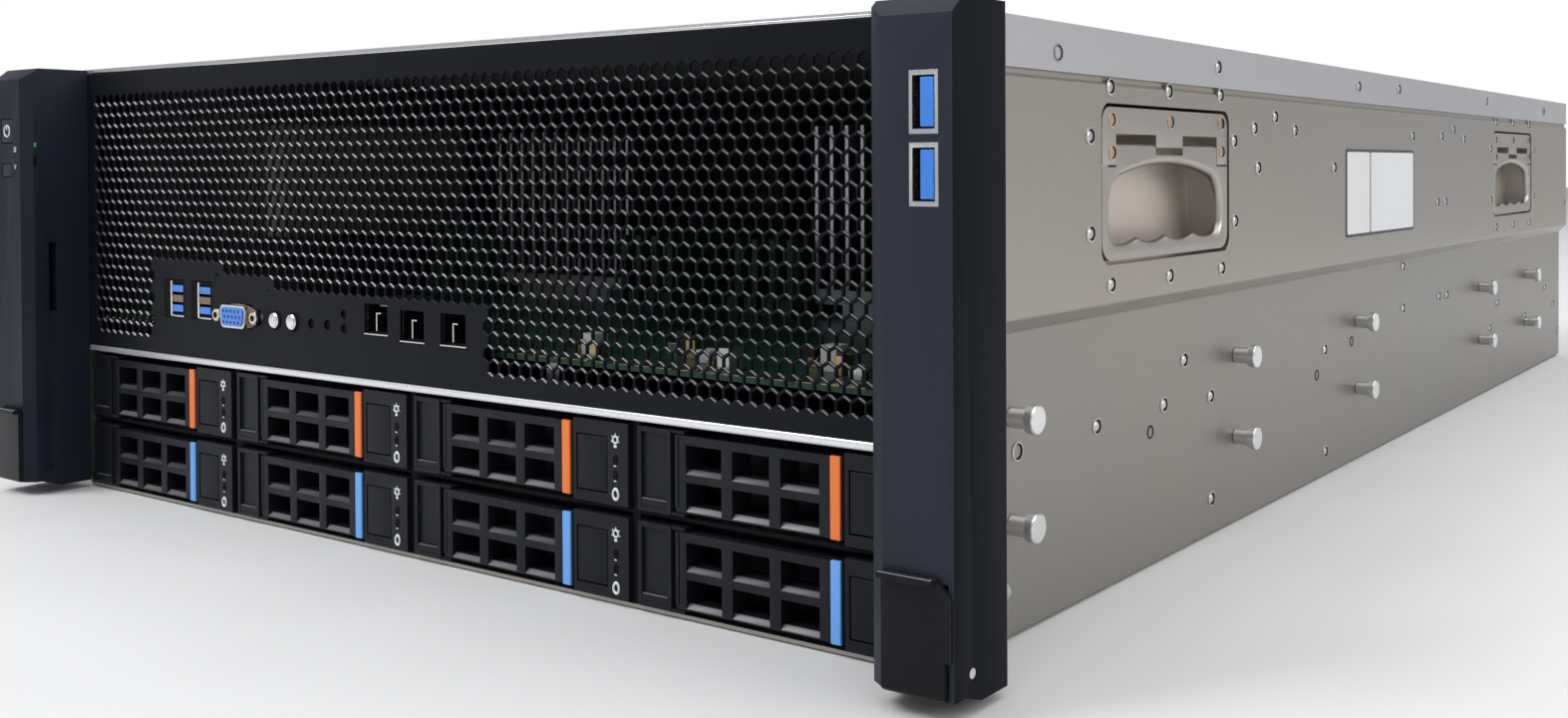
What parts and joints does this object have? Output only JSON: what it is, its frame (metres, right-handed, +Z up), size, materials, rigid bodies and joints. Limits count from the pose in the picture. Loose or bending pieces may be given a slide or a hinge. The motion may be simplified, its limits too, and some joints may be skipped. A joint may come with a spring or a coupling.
{
  "type": "rack server",
  "caption": "Tall rack-mount GPU server with perforated front, hot-swap drive carriers, fold-out side handles, rack ears, lift-off covers, fans, cards and plug-in power supplies.",
  "frame": {"origin": "centre of the whole machine in X and Y, at the underside of the chassis", "axes": "+Z up, -Y towards the front, +X towards the right seen from the front"},
  "size_m": [0.4826, 0.8116, 0.1755],
  "materials": {
    "chassis_steel": "satin zinc-plated sheet",
    "cover_steel": "satin zinc-plated sheet",
    "cage_steel": "satin zinc-plated sheet",
    "carrier_grey": "satin moulded plastic",
    "lever_black": "satin moulded plastic",
    "release_grey": "satin moulded plastic",
    "panel_paint": "satin paint",
    "connector_metal": "plated shells",
    "button_metal": "satin",
    "plunger_black": "satin",
    "ear_plastic": "fine textured moulding",
    "ear_button": "semi gloss",
    "latch_plastic": "satin",
    "bracket_steel": "satin",
    "stud_steel": "turned steel",
    "handle_steel": "satin pressed plate",
    "pan_steel": "satin pressed sheet",
    "board_green": "solder mask",
    "sink_aluminium": "satin fins",
    "card_shroud": "satin shroud",
    "fan_plastic": "satin",
    "rotor_plastic": "satin",
    "rear_steel": "satin zinc-plated sheet",
    "supply_metal": "satin",
    "catch_plastic": "semi gloss"
  },
  "bodies": {
    "chassis": {"chassis_tub": "chassis_steel", "drive_cage": "cage_steel", "board_trays": "cage_steel", "front_panel": "panel_paint", "front_connectors": "connector_metal", "ear_housing_right": "ear_plastic", "ear_housing_left": "ear_plastic", "rack_brackets": "bracket_steel", "rail_studs": "stud_steel", "handle_pans": "pan_steel", "motherboard": "board_green", "cpu_heatsinks": "sink_aluminium", "gpu_cards": "card_shroud", "fan_wall": "fan_plastic", "rear_panel": "rear_steel"},
    "top_cover_front": {"top_cover_front": "cover_steel"},
    "top_cover_rear": {"top_cover_rear": "cover_steel"},
    "drive_carrier_1": {"drive_carrier_1": "carrier_grey"},
    "carrier_lever_1": {"carrier_lever_1": "lever_black"},
    "release_button_1": {"release_button_1": "release_grey"},
    "drive_carrier_2": {"drive_carrier_2": "carrier_grey"},
    "carrier_lever_2": {"carrier_lever_2": "lever_black"},
    "release_button_2": {"release_button_2": "release_grey"},
    "drive_carrier_3": {"drive_carrier_3": "carrier_grey"},
    "carrier_lever_3": {"carrier_lever_3": "lever_black"},
    "release_button_3": {"release_button_3": "release_grey"},
    "drive_carrier_4": {"drive_carrier_4": "carrier_grey"},
    "carrier_lever_4": {"carrier_lever_4": "lever_black"},
    "release_button_4": {"release_button_4": "release_grey"},
    "drive_carrier_5": {"drive_carrier_5": "carrier_grey"},
    "carrier_lever_5": {"carrier_lever_5": "lever_black"},
    "release_button_5": {"release_button_5": "release_grey"},
    "drive_carrier_6": {"drive_carrier_6": "carrier_grey"},
    "carrier_lever_6": {"carrier_lever_6": "lever_black"},
    "release_button_6": {"release_button_6": "release_grey"},
    "drive_carrier_7": {"drive_carrier_7": "carrier_grey"},
    "carrier_lever_7": {"carrier_lever_7": "lever_black"},
    "release_button_7": {"release_button_7": "release_grey"},
    "drive_carrier_8": {"drive_carrier_8": "carrier_grey"},
    "carrier_lever_8": {"carrier_lever_8": "lever_black"},
    "release_button_8": {"release_button_8": "release_grey"},
    "power_button": {"power_button": "ear_button"},
    "reset_button": {"reset_button": "ear_button"},
    "identify_button": {"identify_button": "button_metal"},
    "standby_button": {"standby_button": "button_metal"},
    "restart_plunger": {"restart_plunger": "plunger_black"},
    "interrupt_plunger": {"interrupt_plunger": "plunger_black"},
    "ear_latch_right": {"ear_latch_right": "latch_plastic"},
    "ear_latch_left": {"ear_latch_left": "latch_plastic"},
    "handle_front_right": {"handle_front_right": "handle_steel"},
    "handle_front_left": {"handle_front_left": "handle_steel"},
    "handle_rear_right": {"handle_rear_right": "handle_steel"},
    "handle_rear_left": {"handle_rear_left": "handle_steel"},
    "fan_rotor_1": {"fan_rotor_1": "rotor_plastic"},
    "fan_rotor_2": {"fan_rotor_2": "rotor_plastic"},
    "fan_rotor_3": {"fan_rotor_3": "rotor_plastic"},
    "power_supply_1": {"power_supply_1": "supply_metal"},
    "supply_latch_1": {"supply_latch_1": "catch_plastic"},
    "power_supply_2": {"power_supply_2": "supply_metal"},
    "supply_latch_2": {"supply_latch_2": "catch_plastic"}
  },
  "joints": [
    {"name": "top_cover_front_lift", "type": "slide", "parent": "chassis", "child": "top_cover_front", "axis": [0, 0, 1], "range_m": [0, 0.15]},
    {"name": "top_cover_rear_lift", "type": "slide", "parent": "chassis", "child": "top_cover_rear", "axis": [0, 0, 1], "range_m": [0, 0.15]},
    {"name": "drive_carrier_1_slide", "type": "slide", "parent": "chassis", "child": "drive_carrier_1", "axis": [0, -1, 0], "range_m": [0, 0.178]},
    {"name": "carrier_lever_1_swing", "type": "hinge", "parent": "drive_carrier_1", "child": "carrier_lever_1", "pos_m": [-0.1964, -0.37495, 0.01435], "axis": [0, 0, -1], "range_deg": [0, 60]},
    {"name": "release_button_1_press", "type": "slide", "parent": "drive_carrier_1", "child": "release_button_1", "axis": [0, 1, 0], "range_m": [0, 0.0015], "stiffness_N_per_m": 400},
    {"name": "drive_carrier_2_slide", "type": "slide", "parent": "chassis", "child": "drive_carrier_2", "axis": [0, -1, 0], "range_m": [0, 0.178]},
    {"name": "carrier_lever_2_swing", "type": "hinge", "parent": "drive_carrier_2", "child": "carrier_lever_2", "pos_m": [-0.1964, -0.37495, 0.04305], "axis": [0, 0, -1], "range_deg": [0, 60]},
    {"name": "release_button_2_press", "type": "slide", "parent": "drive_carrier_2", "child": "release_button_2", "axis": [0, 1, 0], "range_m": [0, 0.0015], "stiffness_N_per_m": 400},
    {"name": "drive_carrier_3_slide", "type": "slide", "parent": "chassis", "child": "drive_carrier_3", "axis": [0, -1, 0], "range_m": [0, 0.178]},
    {"name": "carrier_lever_3_swing", "type": "hinge", "parent": "drive_carrier_3", "child": "carrier_lever_3", "pos_m": [-0.0889, -0.37495, 0.01435], "axis": [0, 0, -1], "range_deg": [0, 60]},
    {"name": "release_button_3_press", "type": "slide", "parent": "drive_carrier_3", "child": "release_button_3", "axis": [0, 1, 0], "range_m": [0, 0.0015], "stiffness_N_per_m": 400},
    {"name": "drive_carrier_4_slide", "type": "slide", "parent": "chassis", "child": "drive_carrier_4", "axis": [0, -1, 0], "range_m": [0, 0.178]},
    {"name": "carrier_lever_4_swing", "type": "hinge", "parent": "drive_carrier_4", "child": "carrier_lever_4", "pos_m": [-0.0889, -0.37495, 0.04305], "axis": [0, 0, -1], "range_deg": [0, 60]},
    {"name": "release_button_4_press", "type": "slide", "parent": "drive_carrier_4", "child": "release_button_4", "axis": [0, 1, 0], "range_m": [0, 0.0015], "stiffness_N_per_m": 400},
    {"name": "drive_carrier_5_slide", "type": "slide", "parent": "chassis", "child": "drive_carrier_5", "axis": [0, -1, 0], "range_m": [0, 0.178]},
    {"name": "carrier_lever_5_swing", "type": "hinge", "parent": "drive_carrier_5", "child": "carrier_lever_5", "pos_m": [0.0186, -0.37495, 0.01435], "axis": [0, 0, -1], "range_deg": [0, 60]},
    {"name": "release_button_5_press", "type": "slide", "parent": "drive_carrier_5", "child": "release_button_5", "axis": [0, 1, 0], "range_m": [0, 0.0015], "stiffness_N_per_m": 400},
    {"name": "drive_carrier_6_slide", "type": "slide", "parent": "chassis", "child": "drive_carrier_6", "axis": [0, -1, 0], "range_m": [0, 0.178]},
    {"name": "carrier_lever_6_swing", "type": "hinge", "parent": "drive_carrier_6", "child": "carrier_lever_6", "pos_m": [0.0186, -0.37495, 0.04305], "axis": [0, 0, -1], "range_deg": [0, 60]},
    {"name": "release_button_6_press", "type": "slide", "parent": "drive_carrier_6", "child": "release_button_6", "axis": [0, 1, 0], "range_m": [0, 0.0015], "stiffness_N_per_m": 400},
    {"name": "drive_carrier_7_slide", "type": "slide", "parent": "chassis", "child": "drive_carrier_7", "axis": [0, -1, 0], "range_m": [0, 0.178]},
    {"name": "carrier_lever_7_swing", "type": "hinge", "parent": "drive_carrier_7", "child": "carrier_lever_7", "pos_m": [0.1261, -0.37495, 0.01435], "axis": [0, 0, -1], "range_deg": [0, 60]},
    {"name": "release_button_7_press", "type": "slide", "parent": "drive_carrier_7", "child": "release_button_7", "axis": [0, 1, 0], "range_m": [0, 0.0015], "stiffness_N_per_m": 400},
    {"name": "drive_carrier_8_slide", "type": "slide", "parent": "chassis", "child": "drive_carrier_8", "axis": [0, -1, 0], "range_m": [0, 0.178]},
    {"name": "carrier_lever_8_swing", "type": "hinge", "parent": "drive_carrier_8", "child": "carrier_lever_8", "pos_m": [0.1261, -0.37495, 0.04305], "axis": [0, 0, -1], "range_deg": [0, 60]},
    {"name": "release_button_8_press", "type": "slide", "parent": "drive_carrier_8", "child": "release_button_8", "axis": [0, 1, 0], "range_m": [0, 0.0015], "stiffness_N_per_m": 400},
    {"name": "power_button_press", "type": "slide", "parent": "chassis", "child": "power_button", "axis": [0, 1, 0], "range_m": [0, 0.001], "stiffness_N_per_m": 300},
    {"name": "reset_button_press", "type": "slide", "parent": "chassis", "child": "reset_button", "axis": [0, 1, 0], "range_m": [0, 0.001], "stiffness_N_per_m": 300},
    {"name": "identify_button_press", "type": "slide", "parent": "chassis", "child": "identify_button", "axis": [0, 1, 0], "range_m": [0, 0.0008], "stiffness_N_per_m": 300},
    {"name": "standby_button_press", "type": "slide", "parent": "chassis", "child": "standby_button", "axis": [0, 1, 0], "range_m": [0, 0.0008], "stiffness_N_per_m": 300},
    {"name": "restart_plunger_press", "type": "slide", "parent": "chassis", "child": "restart_plunger", "axis": [0, 1, 0], "range_m": [0, 0.0006], "stiffness_N_per_m": 300},
    {"name": "interrupt_plunger_press", "type": "slide", "parent": "chassis", "child": "interrupt_plunger", "axis": [0, 1, 0], "range_m": [0, 0.0006], "stiffness_N_per_m": 300},
    {"name": "ear_latch_right_swing", "type": "hinge", "parent": "chassis", "child": "ear_latch_right", "pos_m": [0.22815, -0.39425, 0.0102], "axis": [1, 0, 0], "range_deg": [0, 50]},
    {"name": "ear_latch_left_swing", "type": "hinge", "parent": "chassis", "child": "ear_latch_left", "pos_m": [-0.22815, -0.39425, 0.0102], "axis": [1, 0, 0], "range_deg": [0, 50]},
    {"name": "handle_front_right_swing", "type": "hinge", "parent": "chassis", "child": "handle_front_right", "pos_m": [0.2217, -0.24625, 0.1389], "axis": [0, -1, 0], "range_deg": [0, 90]},
    {"name": "handle_front_left_swing", "type": "hinge", "parent": "chassis", "child": "handle_front_left", "pos_m": [-0.2217, -0.24625, 0.1389], "axis": [0, 1, 0], "range_deg": [0, 90]},
    {"name": "handle_rear_right_swing", "type": "hinge", "parent": "chassis", "child": "handle_rear_right", "pos_m": [0.2217, 0.23335, 0.1389], "axis": [0, -1, 0], "range_deg": [0, 90]},
    {"name": "handle_rear_left_swing", "type": "hinge", "parent": "chassis", "child": "handle_rear_left", "pos_m": [-0.2217, 0.23335, 0.1389], "axis": [0, 1, 0], "range_deg": [0, 90]},
    {"name": "fan_rotor_1_spin", "type": "hinge", "parent": "chassis", "child": "fan_rotor_1", "pos_m": [-0.13, -0.05005, 0.118], "axis": [0, 1, 0], "continuous": true},
    {"name": "fan_rotor_2_spin", "type": "hinge", "parent": "chassis", "child": "fan_rotor_2", "pos_m": [0, -0.05005, 0.118], "axis": [0, 1, 0], "continuous": true},
    {"name": "fan_rotor_3_spin", "type": "hinge", "parent": "chassis", "child": "fan_rotor_3", "pos_m": [0.13, -0.05005, 0.118], "axis": [0, 1, 0], "continuous": true},
    {"name": "power_supply_1_slide", "type": "slide", "parent": "chassis", "child": "power_supply_1", "axis": [0, 1, 0], "range_m": [0, 0.2]},
    {"name": "supply_latch_1_press", "type": "slide", "parent": "power_supply_1", "child": "supply_latch_1", "axis": [-1, 0, 0], "range_m": [0, 0.0025], "stiffness_N_per_m": 500},
    {"name": "power_supply_2_slide", "type": "slide", "parent": "chassis", "child": "power_supply_2", "axis": [0, 1, 0], "range_m": [0, 0.2]},
    {"name": "supply_latch_2_press", "type": "slide", "parent": "power_supply_2", "child": "supply_latch_2", "axis": [-1, 0, 0], "range_m": [0, 0.0025], "stiffness_N_per_m": 500}
  ]
}
